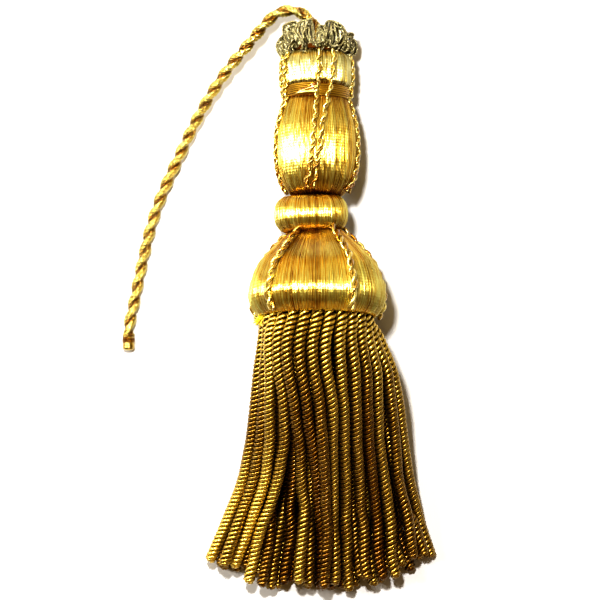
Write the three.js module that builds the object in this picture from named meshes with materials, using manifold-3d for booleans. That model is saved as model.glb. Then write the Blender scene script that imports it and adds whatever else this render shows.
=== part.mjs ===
// A gold bullion tassel that lies on a flat surface, with its hanging cord laid out beside it.
// Millimetres. X runs across the tassel, Y along it from the skirt to the ruff, Z up from the surface.
// The origin is the flat spot under the bell, where the head rests.

import * as THREE from "three";
import { mergeVertices } from "three/addons/utils/BufferGeometryUtils.js";
import Module from "manifold-3d";

// The head. Heights run along its axis from the bell's lower rim, radii out from that axis.
const SEAT_GAP = 0.3; // between pieces that sit on each other
const HEAD_SIDES = 32;
const BELL_REST = { height: 4.7, radius: 11.3 }; // where the bell meets the surface
const RUFF_REST = { height: 47.6, radius: 6.1 }; // where the ruff meets it
const REST_SPOT_DEPTH = 0.12; // how far the bell is flattened there
const BELL_OUTLINE = [
  { height: 0.0, radius: 9.2 },
  { height: 0.4, radius: 10.0 },
  { height: 1.9, radius: 10.95 },
  { height: 3.9, radius: 11.32 },
  { height: 6.3, radius: 10.8 },
  { height: 9.0, radius: 9.65 },
  { height: 11.8, radius: 7.2 },
  { height: 14.3, radius: 4.3 },
];
const COLLAR = { bottom: 14.75, top: 20.2, groove: 4.1, bulge: 2.0, shift: -1.0, lean: 2 };
const BULB_OUTLINE = [
  { height: 20.65, radius: 4.4 },
  { height: 22.4, radius: 5.6 },
  { height: 25.2, radius: 6.35 },
  { height: 28.5, radius: 6.55 },
  { height: 32.2, radius: 6.25 },
  { height: 36.4, radius: 5.1 },
];
const BAND_OUTLINE = [
  { height: 36.7, radius: 5.2 },
  { height: 37.2, radius: 5.42 },
  { height: 37.9, radius: 5.42 },
  { height: 38.35, radius: 5.2 },
];
const BARREL_OUTLINE = [
  { height: 38.65, radius: 5.35 },
  { height: 39.6, radius: 5.63 },
  { height: 42.4, radius: 5.63 },
  { height: 43.7, radius: 5.25 },
  { height: 44.3, radius: 4.5 },
];

// Ribs: thin twisted cords laid over the floss. Drift is how far each cord of a pair strays sideways.
const BULB_RIB_RADIUS = 0.36;
const BULB_RIB_SIDES = { front: 0, right: 90, back: 180, left: 270 };
const BULB_RIB_STEPS = 14;
const BULB_RIB_DRIFT = [
  { height: 43.4, first: 0.3, second: 2.7 },
  { height: 40.4, first: 0.25, second: 2.6 },
  { height: 37.5, first: 0.0, second: 2.0 },
  { height: 34.0, first: -0.2, second: 1.3 },
  { height: 30.5, first: -0.5, second: 0.7 },
  { height: 27.0, first: -0.75, second: 0.4 },
  { height: 23.9, first: -1.3, second: -0.2 },
  { height: 21.9, first: -1.7, second: -0.5 },
];
const BELL_RIB_RADIUS = 0.45;
const BELL_RIB_TURNS = [-43, 30, 110, 150, 246]; // degrees round the bell from its top
const BELL_RIB_SPAN = { top: 13.6, bottom: 0.9 };
const BELL_RIB_STEPS = 10;
const SLOPE_STEP = 0.4; // heights this far apart give the slope of the surface under a rib

// The ruff: loops of gimp on a ring round the cord.
const RUFF_RING = { bottom: 44.6, top: 45.7, inner: 1.5, outer: 3.8 };
const LOOP_COUNT = 10;
const LOOP_THICKNESS = 0.95;
const LOOP_STEPS = 12;
const LOOP_OUTLINE = [
  { height: 45.2, radius: 3.3, spread: 0.6 },
  { height: 46.1, radius: 4.8, spread: 0.8 },
  { height: 47.5, radius: 5.5, spread: 0.75 },
  { height: 48.8, radius: 5.4, spread: 0.0 },
];
const LOOP_UNEVEN = { height: 0.5, radius: 0.3 };

// The skirt: bullion strands on two rings under the bell, which sag on to the surface.
const BACKING = { top: -0.3, bottom: -1.3, radius: 9.3 };
const ROOT_RINGS = [
  { count: 26, radius: 8.75, offset: 0.0 },
  { count: 18, radius: 6.55, offset: 0.5 },
];
const ROOT_HEIGHT = -0.7;
const STRAND_SIDE = 1.36; // side of the square that fits in the round strand
const STRAND_PITCH = 2.1; // least distance between two strands' middles
const STRAND_STEPS = 12;
const SKIRT_ROWS = 16;
const SKIRT_LENGTH = 46.5;
const SKIRT_OUTLINE = [
  { down: 0, left: -8.75, right: 8.75 },
  { down: 4, left: -8.9, right: 10.5 },
  { down: 8, left: -9.6, right: 12.2 },
  { down: 12, left: -10.0, right: 13.3 },
  { down: 20, left: -10.9, right: 14.3 },
  { down: 27.5, left: -12.4, right: 15.5 },
  { down: 35.5, left: -15.6, right: 17.6 },
  { down: 46.5, left: -20.4, right: 21.4 },
];
const LAID_DOWN = [0, 4, 8, 14, 20, 27, 34, 40, 46.5];
const LAID_FROM = -6; // place on the outer ring of the first strand below, counted from the ring's top
const LAID_STRANDS = [
  // where the strands on top lie across the skirt after their root, from its left edge to its right edge
  [-9.0, -9.7, -10.3, -10.9, -12.3, -14.9, -17.6, -20.4],
  [-8.2, -8.6, -8.8, -9.5, -10.8, -13.2, -15.4, -17.4],
  [-7.6, -7.5, -7.9, -7.6, -8.5, -10.8, -12.5, -14.4],
  [-6.5, -6.4, -5.3, -5.2, -6.5, -8.5, -10.3, -12.0],
  [-5.3, -4.8, -3.0, -2.1, -2.4, -1.5, -1.7, -1.9],
  [-3.3, -2.8, -1.5, -0.5, 0.2, 0.5, 0.1, 0.0],
  [-0.9, -0.8, 0.5, 1.1, 1.3, 1.5, 1.2, 1.0],
  [0.9, 1.2, 1.9, 1.7, 2.3, 2.6, 2.4, 2.4],
  [3.5, 3.9, 3.9, 4.1, 4.7, 4.9, 5.5, 6.0],
  [5.3, 6.0, 6.1, 6.5, 7.1, 7.4, 8.0, 8.4],
  [6.7, 7.8, 8.0, 8.3, 9.3, 10.2, 10.6, 11.2],
  [8.0, 9.5, 9.8, 9.9, 11.0, 12.1, 12.8, 13.8],
  [9.3, 11.4, 12.0, 12.6, 13.3, 15.3, 17.0, 18.4],
  [10.4, 12.2, 13.6, 14.3, 15.7, 17.8, 19.6, 21.4],
];
const LAID_PULL = 0.4; // how strongly a pushed strand goes back to where it was laid
const HEAP_HEIGHT = 5.4; // of the strands' ends, before they settle between each other
const END_LINE = { middle: -48.9, curve: 0.0125, uneven: 0.9 }; // the arc that the ends form
const WANDER = 0.5; // how far a strand strays sideways by its end
const SETTLE_LOOPS = 60;
const SETTLE_DROP = 0.012;

// The hanging cord: two plies twisted together, as a route of middle points.
const CORD_RADIUS = 1.0;
const CORD_WAIST = 0.62; // half thickness between the two plies
const CORD_SIDES = 8;
const CORD_TURNS = 9;
const CORD_STEPS_PER_TURN = 10;
const CORD_ROUTE = [
  [0, 40.97, 6.3],
  [0, 42.2, 6.15],
  [0, 43.5, 6.0],
  [-0.34, 45.22, 5.9],
  [-1.32, 46.68, 5.9],
  [-2.78, 47.66, 6.0],
  [-4.5, 48.0, 6.2],
  [-6.22, 47.66, 6.4],
  [-7.68, 46.68, 6.6],
  [-9.6, 44.55, 6.7],
  [-12.0, 41.7, 6.4],
  [-14.4, 38.9, 5.6],
  [-16.9, 35.5, 4.6],
  [-19.2, 31.8, 3.6],
  [-21.3, 27.9, 2.7],
  [-23.2, 23.9, 1.9],
  [-25.1, 19.9, 1.35],
  [-26.8, 15.8, 1.1],
  [-28.1, 11.8, 1.0],
  [-29.1, 7.7, 1.0],
  [-30.0, 3.6, 1.0],
  [-30.8, -0.4, 1.0],
  [-31.5, -3.6, 1.05],
  [-31.8, -5.3, 1.1],
  [-31.8, -6.6, 1.12],
];
const TIP_SIDES = 16;
const TIP_OUTLINE = [
  { height: 0.0, radius: 0.95 },
  { height: 0.2, radius: 1.1 },
  { height: 0.9, radius: 1.1 },
  { height: 1.1, radius: 0.98 },
  { height: 1.8, radius: 0.98 },
  { height: 2.3, radius: 0.65 },
];

const FULL_TURN = 2 * Math.PI;
const GOLDEN_TURN = 2.4; // spreads small irregularities evenly over a row of like pieces
const UP = new THREE.Vector3(0, 0, 1);

const FLOSS = { color: 0xd6a62e, roughness: 0.35, metalness: 0.75 };
const WHIPPING = { color: 0xb9761c, roughness: 0.45, metalness: 0.6 };
const RIB_GIMP = { color: 0xd9b45a, roughness: 0.4, metalness: 0.75 };
const RUFF_GIMP = { color: 0x8d875c, roughness: 0.5, metalness: 0.7 };
const BULLION = { color: 0x7d5f1e, roughness: 0.4, metalness: 0.8 };
const CORD = { color: 0xc08f2a, roughness: 0.45, metalness: 0.6 };

const wasm = await Module();
wasm.setup();

// Solids to cut or join, and back to geometry

function solidFrom(geometry) {
  const bare = geometry.clone();
  bare.deleteAttribute("normal");
  bare.deleteAttribute("uv");
  const merged = mergeVertices(bare);
  const vertProperties = merged.attributes.position.array;
  const triVerts = new Uint32Array(merged.index.array);
  return new wasm.Manifold(new wasm.Mesh({ numProp: 3, vertProperties, triVerts }));
}

function geometryFrom(solid) {
  const mesh = solid.getMesh();
  const geometry = new THREE.BufferGeometry();
  geometry.setAttribute("position", new THREE.BufferAttribute(mesh.vertProperties, 3));
  geometry.setIndex(new THREE.BufferAttribute(mesh.triVerts, 1));
  geometry.computeVertexNormals();
  return geometry;
}

function namedMesh(name, geometry, finish) {
  const mesh = new THREE.Mesh(geometry, new THREE.MeshStandardMaterial(finish));
  mesh.name = name;
  return mesh;
}

// The head's frame: its axis tips down towards the ruff, so that bell and ruff both meet the surface

const restRun = RUFF_REST.height - BELL_REST.height;
const headTilt = Math.atan((BELL_REST.radius - RUFF_REST.radius) / restRun);
const head = new THREE.Group();
head.rotation.x = -headTilt;
head.position.y = BELL_REST.radius * Math.sin(headTilt) - BELL_REST.height * Math.cos(headTilt);
head.position.z = BELL_REST.radius * Math.cos(headTilt) + BELL_REST.height * Math.sin(headTilt);
head.position.z -= REST_SPOT_DEPTH;
head.updateMatrix();

// A point in the head's own frame: turn is measured round its axis from the top towards +X.
function roundHead(height, radius, turn) {
  return new THREE.Vector3(radius * Math.sin(turn), height, radius * Math.cos(turn));
}

function onHead(height, radius, turn) {
  return roundHead(height, radius, turn).applyMatrix4(head.matrix);
}

// Outlines of turned pieces

function smoothOutline(rows, steps) {
  const knots = rows.map((row) => new THREE.Vector2(row.radius, row.height));
  return new THREE.SplineCurve(knots).getSpacedPoints(steps);
}

function turned(outline, sides = HEAD_SIDES) {
  const bottom = new THREE.Vector2(0, outline[0].y);
  const top = new THREE.Vector2(0, outline.at(-1).y);
  return new THREE.LatheGeometry([bottom, ...outline, top], sides);
}

function radiusAt(outline, height) {
  const above = outline.findIndex((point) => point.y >= height);
  if (above <= 0) return outline.at(above === 0 ? 0 : -1).x;
  const low = outline[above - 1];
  const high = outline[above];
  return THREE.MathUtils.mapLinear(height, low.y, high.y, low.x, high.x);
}

const bellOutline = smoothOutline(BELL_OUTLINE, 12);
const bulbOutline = smoothOutline(BULB_OUTLINE, 10);
const bandOutline = smoothOutline(BAND_OUTLINE, 4);
const barrelOutline = smoothOutline(BARREL_OUTLINE, 6);
const neckOutline = [...bulbOutline, ...bandOutline, ...barrelOutline];

// A curve whose swept section stays level, never dips below a lowest height, and may twist

class LevelCurve extends THREE.CatmullRomCurve3 {
  constructor(points, lowest, turns = 0) {
    super(points);
    this.lowest = lowest;
    this.turns = turns;
  }

  getPoint(t, target) {
    const point = super.getPoint(t, target);
    point.z = Math.max(point.z, this.lowest);
    return point;
  }

  computeFrenetFrames(steps) {
    const tangents = [];
    const normals = [];
    const binormals = [];
    for (let step = 0; step <= steps; step++) {
      const along = step / steps;
      const tangent = this.getTangentAt(along);
      const side = new THREE.Vector3().crossVectors(UP, tangent).normalize();
      side.applyAxisAngle(tangent, FULL_TURN * this.turns * along);
      tangents.push(tangent);
      normals.push(side);
      binormals.push(new THREE.Vector3().crossVectors(tangent, side));
    }
    return { tangents, normals, binormals };
  }
}

function squareSection(side) {
  const half = side / 2;
  return new THREE.Shape([
    new THREE.Vector2(-half, -half),
    new THREE.Vector2(half, -half),
    new THREE.Vector2(half, half),
    new THREE.Vector2(-half, half),
  ]);
}

function swept(section, extrudePath, steps) {
  return new THREE.ExtrudeGeometry(section, { extrudePath, steps, bevelEnabled: false });
}

// The bell, with the flat spot that it rests on

function makeBell() {
  const whole = solidFrom(turned(bellOutline).applyMatrix4(head.matrix));
  const reach = 2 * BELL_REST.radius;
  const ground = new THREE.BoxGeometry(reach, reach, reach);
  ground.translate(0, 0, -reach / 2);
  return namedMesh("bell", geometryFrom(whole.subtract(solidFrom(ground))), FLOSS);
}

function makeCollar() {
  const middle = (COLLAR.bottom + COLLAR.top) / 2;
  const half = (COLLAR.top - COLLAR.bottom) / 2;
  const rounding = new THREE.EllipseCurve(COLLAR.groove, 0, COLLAR.bulge, half, -Math.PI / 2, Math.PI / 2);
  const collar = namedMesh("ring_collar", turned(rounding.getPoints(8)), FLOSS);
  collar.position.set(COLLAR.shift, middle, 0);
  collar.rotation.z = THREE.MathUtils.degToRad(COLLAR.lean);
  return collar;
}

// Ribs, each a thin cord that follows the head's surface a little above it

function makeRib(name, outline, radius, places, steps) {
  const points = places.map(({ height, turn, drift }) => {
    const surface = radiusAt(outline, height);
    const slope = radiusAt(outline, height + SLOPE_STEP) - radiusAt(outline, height - SLOPE_STEP);
    const raise = (SEAT_GAP + radius) * Math.hypot(1, slope / (2 * SLOPE_STEP));
    return roundHead(height, surface + raise, turn + drift / surface);
  });
  const section = squareSection(radius * Math.SQRT2);
  return namedMesh(name, swept(section, new THREE.CatmullRomCurve3(points), steps), RIB_GIMP);
}

function makeBulbRibs() {
  const ribs = [];
  for (const [side, degrees] of Object.entries(BULB_RIB_SIDES)) {
    const turn = THREE.MathUtils.degToRad(degrees);
    for (const cord of ["first", "second"]) {
      const places = BULB_RIB_DRIFT.map((row) => ({ height: row.height, turn, drift: row[cord] }));
      const name = `bulb_rib_${side}_${cord}`;
      ribs.push(makeRib(name, neckOutline, BULB_RIB_RADIUS, places, BULB_RIB_STEPS));
    }
  }
  return ribs;
}

function makeBellRibs() {
  return BELL_RIB_TURNS.map((degrees, index) => {
    const turn = THREE.MathUtils.degToRad(degrees);
    const places = [];
    for (let step = 0; step <= BELL_RIB_STEPS; step++) {
      const share = step / BELL_RIB_STEPS;
      const height = THREE.MathUtils.lerp(BELL_RIB_SPAN.top, BELL_RIB_SPAN.bottom, share);
      places.push({ height, turn, drift: 0 });
    }
    return makeRib(`bell_rib_${index + 1}`, bellOutline, BELL_RIB_RADIUS, places, BELL_RIB_STEPS);
  });
}

// The ruff: each loop goes out from the ring, round its tip and back, and lies level on the surface

function loopPath(index) {
  const turn = (FULL_TURN * (index + 0.5)) / LOOP_COUNT;
  const taller = LOOP_UNEVEN.height * Math.sin(GOLDEN_TURN * index);
  const wider = LOOP_UNEVEN.radius * Math.cos(GOLDEN_TURN * index);
  const tip = LOOP_OUTLINE.length - 1;
  const points = [];
  for (let step = -tip; step <= tip; step++) {
    const row = LOOP_OUTLINE[tip - Math.abs(step)];
    const reach = (tip - Math.abs(step)) / tip;
    const radius = row.radius + wider * reach;
    const sideways = (Math.sign(step) * row.spread) / radius;
    points.push(onHead(row.height + taller * reach, radius, turn + sideways));
  }
  return new LevelCurve(points, LOOP_THICKNESS / 2);
}

function makeRuff() {
  const { bottom, top, inner, outer } = RUFF_RING;
  const section = [
    new THREE.Vector2(inner, bottom),
    new THREE.Vector2(outer, bottom),
    new THREE.Vector2(outer, top),
    new THREE.Vector2(inner, top),
    new THREE.Vector2(inner, bottom),
  ];
  const ring = new THREE.LatheGeometry(section, LOOP_COUNT * 2).applyMatrix4(head.matrix);
  let ruff = solidFrom(ring);
  for (let index = 0; index < LOOP_COUNT; index++) {
    const loop = swept(squareSection(LOOP_THICKNESS), loopPath(index), LOOP_STEPS);
    ruff = ruff.add(solidFrom(loop));
  }
  return namedMesh("ruff", geometryFrom(ruff), RUFF_GIMP);
}

// The skirt: strands start on rings under the bell and are laid down row by row, each row pushed apart

function fall(share) {
  return share * share * (3 - 2 * share);
}

function acrossAt(down, downs, across) {
  const next = downs.findIndex((row) => row >= down);
  if (next <= 0) return across.at(next === 0 ? 0 : -1);
  return THREE.MathUtils.mapLinear(down, downs[next - 1], downs[next], across[next - 1], across[next]);
}

const skirtDowns = SKIRT_OUTLINE.map((row) => row.down);
const skirtEdges = {
  left: SKIRT_OUTLINE.map((row) => row.left),
  right: SKIRT_OUTLINE.map((row) => row.right),
};

function rootStrands() {
  const widest = ROOT_RINGS[0].radius;
  const strands = [];
  for (const { count, radius, offset } of ROOT_RINGS) {
    for (let place = 0; place < count; place++) {
      const turn = (FULL_TURN * (place + offset)) / count;
      const root = onHead(ROOT_HEIGHT, radius, turn);
      const stray = Math.sin(GOLDEN_TURN * strands.length);
      const fromTop = place < count / 2 ? place : place - count;
      const laid = radius === widest ? LAID_STRANDS[fromTop - LAID_FROM] : undefined;
      strands.push({ root, side: Math.sin(turn), share: radius / widest, stray, laid, path: [root] });
    }
  }
  return strands;
}

// Where a strand would lie at a share of the skirt's length if it could pass through its neighbours.
function freePlace({ root, side, share: ringShare, stray, laid }, share) {
  const down = share * SKIRT_LENGTH;
  const fallen = fall(share);
  const evenSide = Math.asin(THREE.MathUtils.clamp(side, -1, 1)) / (Math.PI / 2);
  const lean = THREE.MathUtils.lerp(side, evenSide, fallen);
  const edge = Math.abs(acrossAt(down, skirtDowns, skirtEdges[side < 0 ? "left" : "right"]));
  const spread = lean * ringShare ** (1 - fallen) * edge + WANDER * stray * share;
  const x = laid ? acrossAt(down, LAID_DOWN, [root.x, ...laid]) : spread;
  const ring = ROOT_RINGS[0].radius;
  const lift = (root.z - head.position.z + ring) / (2 * ring);
  const low = STRAND_SIDE / 2 + lift * HEAP_HEIGHT;
  const carriedOn = Math.sin(headTilt) * down * (1 - share) ** 3;
  const z = THREE.MathUtils.lerp(root.z, low, fallen) + carriedOn;
  return new THREE.Vector3(x, head.position.y - down, z);
}

// Neighbours are pushed apart in an upright plane, where a sloping strand is taller than it is wide.
function pushApart(places) {
  places.forEach((one, index) => {
    for (const other of places.slice(index + 1)) {
      const dx = other.x - one.x;
      const dz = (other.z - one.z) * Math.min(one.level, other.level);
      const apart = Math.hypot(dx, dz);
      if (apart < STRAND_PITCH) {
        const push = (STRAND_PITCH - apart) / (2 * apart);
        one.x -= dx * push;
        one.z -= dz * push;
        other.x += dx * push;
        other.z += dz * push;
      }
    }
  });
}

// A strand stops at the arc that the ends form.
function cutToEnd({ path, stray }) {
  const end = END_LINE.middle + END_LINE.curve * path.at(-1).x ** 2 + END_LINE.uneven * stray;
  const next = path.findIndex((point) => point.y <= end);
  const before = path[next - 1];
  const after = path[next];
  return [...path.slice(0, next), before.clone().lerp(after, (before.y - end) / (before.y - after.y))];
}

function settleStrands() {
  const strands = rootStrands();
  const places = strands.map(({ root }) => ({ x: root.x, z: root.z, level: 1 }));
  for (let row = 1; row <= SKIRT_ROWS; row++) {
    const share = row / SKIRT_ROWS;
    const down = share * SKIRT_LENGTH;
    const left = acrossAt(down, skirtDowns, skirtEdges.left);
    const right = acrossAt(down, skirtDowns, skirtEdges.right);
    strands.forEach((strand, index) => {
      const free = freePlace(strand, share);
      const step = free.clone().sub(freePlace(strand, (row - 1) / SKIRT_ROWS));
      const place = places[index];
      place.x += step.x;
      place.z += step.z;
      if (strand.laid) place.x += LAID_PULL * (free.x - place.x);
      place.level = Math.abs(step.y) / Math.hypot(step.y, step.z);
    });
    for (let loop = 0; loop < SETTLE_LOOPS; loop++) {
      pushApart(places);
      for (const place of places) {
        place.x = THREE.MathUtils.clamp(place.x, left, right);
        place.z = Math.max(place.z - SETTLE_DROP * share, STRAND_SIDE / 2);
      }
    }
    strands.forEach((strand, index) => {
      const { x, z } = places[index];
      strand.path.push(new THREE.Vector3(x, head.position.y - down, z));
    });
  }
  return strands.map(cutToEnd);
}

function makeSkirt() {
  const { top, bottom, radius } = BACKING;
  const edge = [new THREE.Vector2(radius, bottom), new THREE.Vector2(radius, top)];
  let skirt = solidFrom(turned(edge).applyMatrix4(head.matrix));
  for (const path of settleStrands()) {
    const curve = new LevelCurve(path, STRAND_SIDE / 2);
    skirt = skirt.add(solidFrom(swept(squareSection(STRAND_SIDE), curve, STRAND_STEPS)));
  }
  return namedMesh("skirt", geometryFrom(skirt), BULLION);
}

// The cord and its bound end

function makeCord() {
  const points = CORD_ROUTE.map((place) => new THREE.Vector3(...place));
  const section = new THREE.Shape();
  const thick = (CORD_RADIUS + CORD_WAIST) / 2;
  const swell = (CORD_RADIUS - CORD_WAIST) / 2;
  const corners = [];
  for (let corner = 0; corner < CORD_SIDES; corner++) {
    const turn = (FULL_TURN * corner) / CORD_SIDES;
    const radius = thick + swell * Math.cos(2 * turn);
    corners.push(new THREE.Vector2(radius * Math.cos(turn), radius * Math.sin(turn)));
  }
  section.setFromPoints(corners);
  const route = new LevelCurve(points, CORD_RADIUS, CORD_TURNS);
  return namedMesh("hang_cord", swept(section, route, CORD_TURNS * CORD_STEPS_PER_TURN), CORD);
}

function makeTip() {
  const outline = TIP_OUTLINE.map((row) => new THREE.Vector2(row.radius, row.height));
  const tip = namedMesh("cord_tip", turned(outline, TIP_SIDES), WHIPPING);
  tip.position.set(...CORD_ROUTE.at(-1));
  tip.position.y -= SEAT_GAP;
  tip.rotation.z = Math.PI;
  return tip;
}

head.add(
  namedMesh("bulb", turned(bulbOutline), FLOSS),
  namedMesh("waist_band", turned(bandOutline), WHIPPING),
  namedMesh("neck_barrel", turned(barrelOutline), FLOSS),
  makeCollar(),
  ...makeBulbRibs(),
  ...makeBellRibs(),
);

const tassel = new THREE.Group();
tassel.name = "bullion_tassel";
tassel.add(head, makeBell(), makeRuff(), makeSkirt(), makeCord(), makeTip());

export default tassel;
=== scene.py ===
# %% [markdown]
# # A gold bullion tassel
# A tassel is a turned wooden head, wound all over with floss, with a skirt of bullion under it. Bullion is
# wire gimp that is coiled round a yarn like a spring. This one lies on a white table with its hanging cord
# beside it. The solids of the tassel are already packed, so this lesson dresses them: each solid is swapped
# for a piece that has the threads, plies and coils of the real one, in the same place.

# %% Load the solids
import math

import bpy
import numpy as np
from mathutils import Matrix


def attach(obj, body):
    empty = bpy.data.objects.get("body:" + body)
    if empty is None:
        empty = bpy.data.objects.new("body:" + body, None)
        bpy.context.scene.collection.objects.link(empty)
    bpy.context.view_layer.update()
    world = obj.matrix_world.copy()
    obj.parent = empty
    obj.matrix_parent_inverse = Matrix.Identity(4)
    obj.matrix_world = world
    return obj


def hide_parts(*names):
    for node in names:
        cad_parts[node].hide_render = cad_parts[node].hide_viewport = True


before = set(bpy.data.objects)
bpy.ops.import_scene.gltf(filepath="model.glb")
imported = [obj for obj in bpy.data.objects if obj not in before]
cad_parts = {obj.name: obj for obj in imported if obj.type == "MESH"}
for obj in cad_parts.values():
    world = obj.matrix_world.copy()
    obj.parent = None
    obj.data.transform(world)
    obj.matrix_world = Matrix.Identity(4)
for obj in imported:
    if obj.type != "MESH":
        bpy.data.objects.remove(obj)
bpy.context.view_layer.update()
MM = 0.001  # sizes below are in millimetres, Blender's are in metres

# %% [markdown]
# ## The camera
# The tassel is seen from straight above. A long lens half a metre up shows the tall bell and the flat strand
# ends at nearly one scale, as in the picture. A lens is a length of focus for a sensor width, so the focus in
# pixels is turned into millimetres of sensor.

# %% Camera
PICTURE_SIDE, FOCUS_PIXELS, SENSOR_WIDTH = 600, 2952, 36
CAMERA_PLACE = (-2.83 * MM, -0.41 * MM, 0.5)
camera_data = bpy.data.cameras.new("overhead_camera")
camera_data.sensor_width = SENSOR_WIDTH
camera_data.lens = FOCUS_PIXELS / PICTURE_SIDE * SENSOR_WIDTH
camera = bpy.data.objects.new("overhead_camera", camera_data)
camera.location = CAMERA_PLACE
bpy.context.scene.collection.objects.link(camera)
bpy.context.scene.camera = camera
print("lens:", round(camera_data.lens, 1), "mm")

# %% [markdown]
# ## Lines
# Nearly everything on a tassel is a thread, a wire or a cord, so the first helpers make smooth lines.
# Blender's curve objects could do this too, but plain arrays of points let a second line be wound round the
# first, and that is how a cord is really made.

# %% Helpers for lines
FULL_TURN = 2 * math.pi


def unit(rows):
    return rows / np.linalg.norm(rows, axis=-1, keepdims=True)


def through(knots, steps=12):
    """A smooth line through a few given points."""
    knots = np.asarray(knots, float)
    padded = np.vstack([2 * knots[0] - knots[1], knots, 2 * knots[-1] - knots[-2]])
    t = np.arange(steps)[:, None] / steps
    spans = []
    for before, start, end, after in zip(padded, padded[1:], padded[2:], padded[3:]):
        bend = 2 * before - 5 * start + 4 * end - after
        twist = 3 * start - before - 3 * end + after
        spans.append(start + 0.5 * ((end - before) * t + bend * t**2 + twist * t**3))
    return np.vstack([*spans, knots[-1:]])


def run_of(line):
    """The distance along a line at each of its points."""
    return np.concatenate([[0], np.cumsum(np.linalg.norm(np.diff(line, axis=0), axis=1))])


def spaced(line, count):
    """The same line with its points spread evenly."""
    run = run_of(line)
    at = np.linspace(0, run[-1], count)
    return np.column_stack([np.interp(at, run, column) for column in line.T])


print("a line through 3 points has", len(through([(0, 0), (1, 0), (1, 1)])), "points")

# %% [markdown]
# ## Bars
# A bar is a ring of corners at each point of a line, joined with four-sided faces and closed at both ends, so
# that it shows no hole from any side. The rings can be flattened, for a wire that is wider than it is high.

# %% Helpers for bars


def closed_faces(rows, columns):
    """Faces of a tube of rings, with a face to close each end."""
    row, column = np.meshgrid(np.arange(rows - 1), np.arange(columns), indexing="ij")
    here = row * columns + column
    beside = row * columns + (column + 1) % columns
    tube = np.stack([here, beside, beside + columns, here + columns], axis=-1).reshape(-1, 4).tolist()
    first = list(range(columns))
    last = list(range((rows - 1) * columns, rows * columns))
    return [*tube, first[::-1], last]


def square_to(line, out):
    """Two directions square to a line: the one nearest to out, and the one beside it."""
    along = unit(np.gradient(line, axis=0))
    side = unit(np.cross(along, out))
    return np.cross(side, along), side


def sweep(line, out, radius, sides, side_radius=None):
    """A bar along a line. It has a side radius if it is flattened."""
    out, side = square_to(line, out)
    turn = FULL_TURN * np.arange(sides) / sides
    side_radius = radius if side_radius is None else side_radius
    outward = np.broadcast_to(radius, len(line))[:, None, None] * np.cos(turn)[:, None] * out[:, None]
    sideways = np.broadcast_to(side_radius, len(line))[:, None, None] * np.sin(turn)[:, None] * side[:, None]
    points = (line[:, None] + outward + sideways).reshape(-1, 3)
    along = np.repeat(run_of(line), sides)
    return {"points": points, "faces": closed_faces(len(line), sides), "along": along}


print("a bar of 3 rings and 6 sides has", len(closed_faces(3, 6)), "faces")

# %% [markdown]
# ## From arrays to pieces
# Each piece is one mesh object. Besides its points and faces it carries two numbers at every point: `along`,
# the distance along its thread in millimetres, and `tone`, the shade of its thread there. The materials read
# them, so that a wrapped wire can have its fine turns and no two threads have quite one colour.

# %% Helpers for pieces
POINT_VALUES = ("along", "tone")
MIDDLE_TONE = 0.5


def joined(parts, tones=None):
    """Many shapes as one. A shape that has no tone of its own takes one from the list."""
    tones = np.full(len(parts), MIDDLE_TONE) if tones is None else tones
    starts = np.cumsum([0] + [len(part["points"]) for part in parts])
    faces = []
    for part, start in zip(parts, starts):
        faces += [[corner + start for corner in face] for face in part["faces"]]
    tone = [np.broadcast_to(part.get("tone", own), len(part["points"])) for part, own in zip(parts, tones)]
    return {
        "points": np.vstack([part["points"] for part in parts]),
        "faces": faces,
        "along": np.concatenate([part["along"] for part in parts]),
        "tone": np.concatenate(tone),
    }


def rested(shape, level=0.0):
    """The shape, flattened where it would sink into the table."""
    points = shape["points"].copy()
    points[:, 2] = np.maximum(points[:, 2], level)
    return {**shape, "points": points}


def make_piece(name, shape, material, slot, *stands_for):
    """A mesh object that takes the place of the solids it stands for."""
    mesh = bpy.data.meshes.new(name)
    mesh.from_pydata((shape["points"] * MM).tolist(), [], shape["faces"])
    for label in POINT_VALUES:
        values = np.broadcast_to(shape.get(label, MIDDLE_TONE), len(shape["points"]))
        mesh.attributes.new(label, "FLOAT", "POINT").data.foreach_set("value", values.astype(np.float32))
    mesh.shade_smooth()
    mesh.materials.append(material)
    piece = bpy.data.objects.new(name, mesh)
    bpy.context.scene.collection.objects.link(piece)
    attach(piece, "root")
    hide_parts(*stands_for)
    print(f"{name}: {sum(len(face) - 2 for face in shape['faces'])} triangles")
    return piece


print("every point of a piece carries", POINT_VALUES)

# %% [markdown]
# ## Nodes
# A material in Blender is a small net of nodes, and helpers for the common ones keep the recipes short. The
# fine turns of a wrapped thread are a bump, from a sine of `along`: they are a fifth to half of a millimetre
# apart, far too fine to build. Gloss can be drawn out sideways, wide round the head and narrow along its
# threads, which is what makes satin look like satin.

# %% Helpers for nodes
WRAP_STRENGTH = 0.8


def set_values(node, values):
    for label, value in values.items():
        node.inputs[label].default_value = value


def reckoned(tree, operation, *terms):
    """A sum in a node. Each term is a number, or what another node gives."""
    node = tree.nodes.new("ShaderNodeMath")
    node.operation = operation
    for socket, term in zip(node.inputs, terms):
        if isinstance(term, (int, float)):
            socket.default_value = term
        else:
            tree.links.new(term, socket)
    return node.outputs["Value"]


def carried(tree, label):
    node = tree.nodes.new("ShaderNodeAttribute")
    node.attribute_name = label
    return node.outputs["Fac"]


def wrapped_turns(tree, turn_length, depth, stagger):
    """Bump for the turns of a wrapped thread. Each thread's turns start at a place of their own."""
    start = reckoned(tree, "MULTIPLY", carried(tree, "tone"), stagger)
    turns = reckoned(tree, "MULTIPLY_ADD", carried(tree, "along"), FULL_TURN / turn_length, start)
    bump = tree.nodes.new("ShaderNodeBump")
    set_values(bump, {"Strength": WRAP_STRENGTH, "Distance": depth * MM})
    tree.links.new(reckoned(tree, "SINE", turns), bump.inputs["Height"])
    return bump.outputs["Normal"]


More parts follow.
